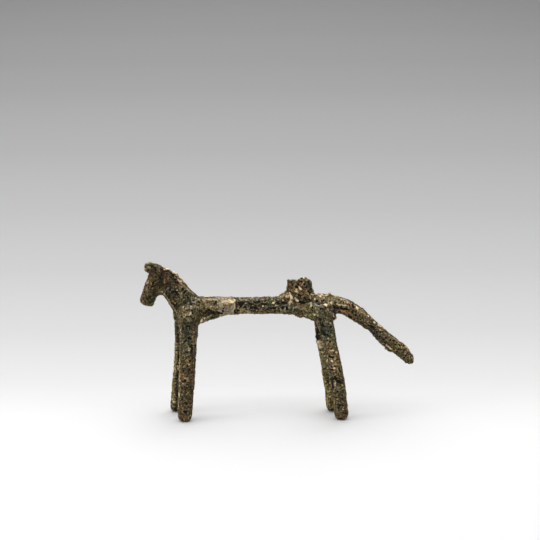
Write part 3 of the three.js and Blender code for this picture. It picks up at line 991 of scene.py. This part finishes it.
# %% Marks on the hidden sides
hidden = np.flatnonzero(normals @ np.array(forward) > -0.25)
HIDDEN_MARKS = {
    "dark": {"amount": 90, "reach": (0.24, 0.42), "length": (0.0, 2.0)},
    "pale": {"amount": 90, "reach": (0.26, 0.50), "length": (0.5, 4.0)},
    "cream": {"amount": 45, "reach": (0.22, 0.34), "length": (0.0, 2.5)},
    "bare": {"amount": 8, "reach": (0.22, 0.30), "length": (0.0, 1.0)},
    "earth": {"amount": 16, "reach": (0.30, 0.50), "length": (0.0, 1.5)},
    "bloom": {"amount": 18, "reach": (0.28, 0.44), "length": (0.5, 2.0)},
    "slate": {"amount": 30, "reach": (0.30, 0.50), "length": (0.5, 3.0)},
    # The shade strokes are painted shade: darker tone strewn at random.
    "shade": {"amount": 20, "reach": (0.9, 1.6), "length": (1.0, 4.0)},
    "dust": {"amount": 24, "reach": (0.8, 1.4), "length": (1.0, 4.0)},
}


def strew_strokes(cover, amount, reach, length):
    """Strokes of random place, direction and length on the hidden skin, added to a cover."""
    for _ in range(amount):
        start = smooth_points[draw.choice(hidden)]
        step = draw.normal(size=3)
        step *= draw.uniform(*length) / np.linalg.norm(step)
        end = np.array(skin.find_nearest(Vector((start + step) * MM))[0]) / MM
        cover = wet(cover, [start, end], draw.uniform(*reach), SOFT_RIM)
    return cover


for name, plan in HIDDEN_MARKS.items():
    covers[name] = strew_strokes(covers[name], **plan)
print(len(hidden), "points of the skin are hidden")

# %% [markdown]
# Now the heights of all marks are added to the relief and the skin is moved, once. The soles stay flat,
# since the horse stands on them, so the relief fades out toward the ground.

# %% Move the skin
MARK_LIFTS = {"dark": -0.24, "pale": 0.05, "cream": 0.05, "bloom": 0.04, "repair": 0.08}
DEEPEST_FILLED = 0.2
SOLE_EDGE = (0.05, 1.2)
covers["repair"] = repair
filler = repair * np.clip(-pits, 0, DEEPEST_FILLED)
height = height + pits + warts + filler
for name, lift in MARK_LIFTS.items():
    height = height + lift * covers[name]
height = height + swellings
off_ground = rise(smooth_points[:, 2], *SOLE_EDGE)
points = smooth_points + normals * (height * off_ground)[:, None]
points[:, 2] = np.maximum(points[:, 2], 0)
set_points(points)
print("relief moved the skin by", round(float(height.min()), 2), "to", round(float(height.max()), 2), "mm")

# %% [markdown]
# A hollow is where the skin lies deeper than the average of its neighbourhood. Dark crust stays in
# hollows and wears off crests, so this one measure does most of the colouring. It is stored on the mesh
# together with all the marks, as named values on the points, which the material can then look up.

# %% Store hollows and marks
NEIGHBOURHOOD = 10
hollow = np.einsum("ij,ij->i", soften(points, NEIGHBOURHOOD) - points, normals)
print("hollows reach", round(float(hollow.max()), 2), "mm and crests", round(float(-hollow.min()), 2), "mm")
covers["hollow"] = hollow
for name, values in covers.items():
    layer = mesh.attributes.new(name, "FLOAT", "POINT")
    layer.data.foreach_set("value", values.astype(np.float32))
print("values kept on the points:", ", ".join(covers))

# %% [markdown]
# The crust has one scale of tones, from black hollows to cream crests, and four hues. So each hue is
# given by its shares of green and blue beside red, and one function works out the ramp. Pale tones of
# corroded bronze are all rather alike, the colour of dust, so the shares drift toward cream as the tone
# gets lighter.

# %% Colours of the crust
CRUST_TONES = [(0.10, 0.014), (0.25, 0.032), (0.40, 0.064), (0.54, 0.130), (0.70, 0.310), (0.95, 0.600)]
CREAM_GREEN = 0.78
CREAM_BLUE = 0.43


def crust_colours(green, blue):
    """Ramp stops of a crust whose green and blue are these shares of its red."""
    stops = []
    for place, red in CRUST_TONES:
        green_share = green + (CREAM_GREEN - green) * red
        blue_share = blue + (CREAM_BLUE - blue) * red
        stops.append((place, (red, red * green_share, red * blue_share)))
    return stops


UMBER = crust_colours(0.78, 0.38)
RUSSET = crust_colours(0.66, 0.29)
GREY_GREEN = crust_colours(0.94, 0.56)
MOSS = crust_colours(0.85, 0.25)
# The dust colour also paints top light, and highlight on lit edges.
DUST_AND_PAINTED_LIGHT = [(0.0, (0.055, 0.042, 0.022)), (0.38, (0.165, 0.126, 0.069)), (0.88, (0.55, 0.43, 0.25))]
FLAKED = [(0.08, (0.30, 0.22, 0.11)), (0.45, (0.66, 0.50, 0.28)), (0.80, (0.94, 0.79, 0.52))]
RUSTY_EARTH = [(0.10, (0.10, 0.040, 0.012)), (0.55, (0.52, 0.25, 0.075))]
CHALK = [(0.0, (0.09, 0.092, 0.078)), (0.40, (0.29, 0.29, 0.235)), (0.90, (0.66, 0.64, 0.54))]
BLUE_GREY = [(0.10, (0.014, 0.014, 0.017)), (0.45, (0.070, 0.068, 0.068)), (0.90, (0.34, 0.32, 0.30))]
FILLER = [(0.0, (0.08, 0.066, 0.044)), (0.40, (0.25, 0.205, 0.135)), (0.90, (0.66, 0.55, 0.38))]
PIT_BLACK = (0.010, 0.009, 0.008, 1)
SCRAPED_BRONZE = (0.92, 0.78, 0.54, 1)
print("umber runs from", [round(c, 3) for c in UMBER[0][1]], "to", [round(c, 2) for c in UMBER[-1][1]])

# %% [markdown]
# The patina is built as the ground built it, layer on layer: a grainy crust, then what lies on it, and
# last the pits and flakes that go through it. A photograph wrapped round the horse would be quicker, but
# it would hold the photograph's own light. We start with the grain. Noises of four sizes make the soft
# changes, and ragged patches of two sizes make the chips and scabs with an edge. Taking 0.5 from a noise
# centres it on 0, so that it darkens as often as it lightens.

# %% Grain
GRAIN_SIZE = 0.36 * MM
SPECK_SIZE = 0.85 * MM
CLOUD_SIZE = 3.2 * MM
ZONE_SIZE = 9 * MM
CHIP_SIZE = 0.55 * MM
CHIP_SHIVER = 0.5 * MM
SCAB_SIZE = 1.3 * MM
SCAB_SHIVER = 1.4 * MM

patina = Recipe("corroded_bronze")
place = patina.node("ShaderNodeTexCoord", output=3)
cover = {name: patina.attribute(name) for name in covers}
grain = patina.noise(place, GRAIN_SIZE, detail=3, roughness=0.7) - 0.5
speck = patina.noise(place, SPECK_SIZE, detail=3, roughness=0.6) - 0.5
cloud = patina.noise(place, CLOUD_SIZE, detail=3) - 0.5
zone = patina.noise(place, ZONE_SIZE) - 0.5
chips = patina.patches(place, CHIP_SIZE, CHIP_SHIVER)
scabs = patina.patches(place, SCAB_SIZE, SCAB_SHIVER)
chip = patina.red(chips) - 0.5
scab = patina.red(scabs) - 0.5
print("grain takes", len(patina.tree.nodes), "nodes")

# %% [markdown]
# The tone says how light the crust is, before it has any hue. It starts from a mean and takes darks from
# the hollows and from the painted shade, and lights from the dusty stretches. The grain is coarser in some
# zones than in others, and calmer on the olive parts, where the photograph shows a smoother skin. One
# even grain would look sprayed on.

# %% Tone
MEAN_TONE = 0.375
coarseness = 1 + zone * 1.6
calm = 1 - cover["olive"] * 0.3
grit = grain * coarseness * 1.7 + speck * 0.36 + chip * 0.10 + scab * 0.12
tone = MEAN_TONE + grit * calm + cloud * 0.2 - cover["hollow"] * 2.0
# The shade cover darkens the tone here as painted shade.
tone = tone + cover["dust"] * 0.15 + cover["olive"] * 0.02 - cover["shade"] * 0.15

# %% [markdown]
# The hue is umber, and turns to russet, grey-green or moss where those areas were laid. Their borders are
# ravelled by the clouds and scabs, because salts creep through a crust unevenly and leave no clean line.

# %% Hue
HUES = {"warm": RUSSET, "sage": GREY_GREEN, "olive": MOSS}
ravel = cloud * 0.8 + scab * 0.9
colour = patina.ramp(tone, UMBER)
for name, stops in HUES.items():
    area = patina.step(cover[name] + ravel, 0.3, 0.6)
    colour = patina.mix(area, colour, patina.ramp(tone, stops))
print("crust takes", len(patina.tree.nodes), "nodes")

# %% [markdown]
# On the crust lie dust, slate spots, worn crust with painted highlight on lit edges, the filler of the
# repair, bloom and earth. Each layer is a mix of what is under it and a ramp of its own along the same
# tone, so the grain shows through. Where the surface faces up the dust colour is mixed in: partly dust,
# and partly painted top light, the tops made lighter as the lamp above falls on them. The other layers
# come from the stored marks, and a mark's rim is frayed by the grain: it is whole in its middle and
# breaks into crumbs outside. In between, the random colours of noise, chips and scabs push red, green
# and blue a little apart, as in real salts.

# %% Layers from the ground, and painted top light
facing = patina.node("ShaderNodeNewGeometry", output=1)
up = patina.node("ShaderNodeSeparateXYZ", sockets={0: facing}, output=2)
fray = grain * 1.3 + chip * 0.4


def broken(name, low=0.6, high=1.1, ragged=1):
    """A cover that is whole in its middle and broken up by the grain at its rim."""
    return patina.step(cover[name] * 1.8 + fray * ragged, low, high)


dust_and_painted_light = patina.ramp(tone, DUST_AND_PAINTED_LIGHT)
# Painted top light and dust: surfaces that face up are lightened with the dust colour.
painted_top_light_and_dust = patina.step(up + cloud * 1.2 + speck * 1.2 + cover["dust"] * 0.3, 0.55, 1.1)
colour = patina.mix(painted_top_light_and_dust * 0.2, colour, dust_and_painted_light)
colour = patina.mix(broken("slate", ragged=1.4) * 0.55, colour, patina.ramp(tone, BLUE_GREY))
colour = patina.mix(broken("pale", ragged=1.4) * 0.7, colour, patina.ramp(tone + 0.03, DUST_AND_PAINTED_LIGHT))
colour = patina.mix(broken("repair", 0.5, 1.0) * 0.7, colour, patina.ramp(tone, FILLER))
colour = patina.mix(broken("bloom") * 0.7, colour, patina.ramp(tone, CHALK))
salts = patina.noise(place, 0.5 * MM).output(1)
for random_colour, strength in ((salts, 0.9), (chips, 0.18), (scabs, 0.14)):
    colour = patina.tint(colour, random_colour, strength)
colour = patina.mix(broken("earth", ragged=1.4) * 0.85, colour, patina.ramp(tone, RUSTY_EARTH))

# %% [markdown]
# Last come the marks that go through the crust: small black pits all over, the dark recesses, and the
# cream flakes, each in a halo of dust. Bare metal sits in the middle of some flakes.

# %% Pits, flakes and bare metal
small_pits = patina.dots(place, 1.25 * MM, 0.05 * MM, 0.40 * MM)
colour = patina.mix(small_pits * 0.5, colour, PIT_BLACK)
colour = patina.mix(broken("dark", 0.55, 1.0) * 0.88, colour, PIT_BLACK)
colour = patina.mix(broken("cream", 0.3, 0.8) * 0.35, colour, dust_and_painted_light)
colour = patina.mix(broken("cream", ragged=1.7) * 0.9, colour, patina.ramp(tone, FLAKED))
scraped = broken("bare")
colour = patina.mix(scraped * 0.9, colour, SCRAPED_BRONZE)
print("patina takes", len(patina.tree.nodes), "nodes")

# %% [markdown]
# The finest grain is a bump, since the skin's squares are too large for it. The crust is matt, and only
# the bare metal is smoother and a little metallic. Fully metallic spots would mirror the dark side of the
# room and come out black.

# %% Surface
relief = grain + chip * 0.2 - small_pits * 0.5
bump = patina.node("ShaderNodeBump", {}, {"Strength": 0.9, "Distance": 0.14 * MM, "Height": relief})
mesh.materials.append(patina.finish({
    "Base Color": colour,
    "Roughness": 0.68 - scraped * 0.25,
    "Metallic": scraped * 0.35,
    "Specular IOR Level": 0.08,
    "Normal": bump,
}))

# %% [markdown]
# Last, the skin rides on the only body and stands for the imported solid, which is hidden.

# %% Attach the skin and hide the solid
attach(horse, "root")
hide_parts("horse")
for polygon in mesh.polygons:
    polygon.use_smooth = True
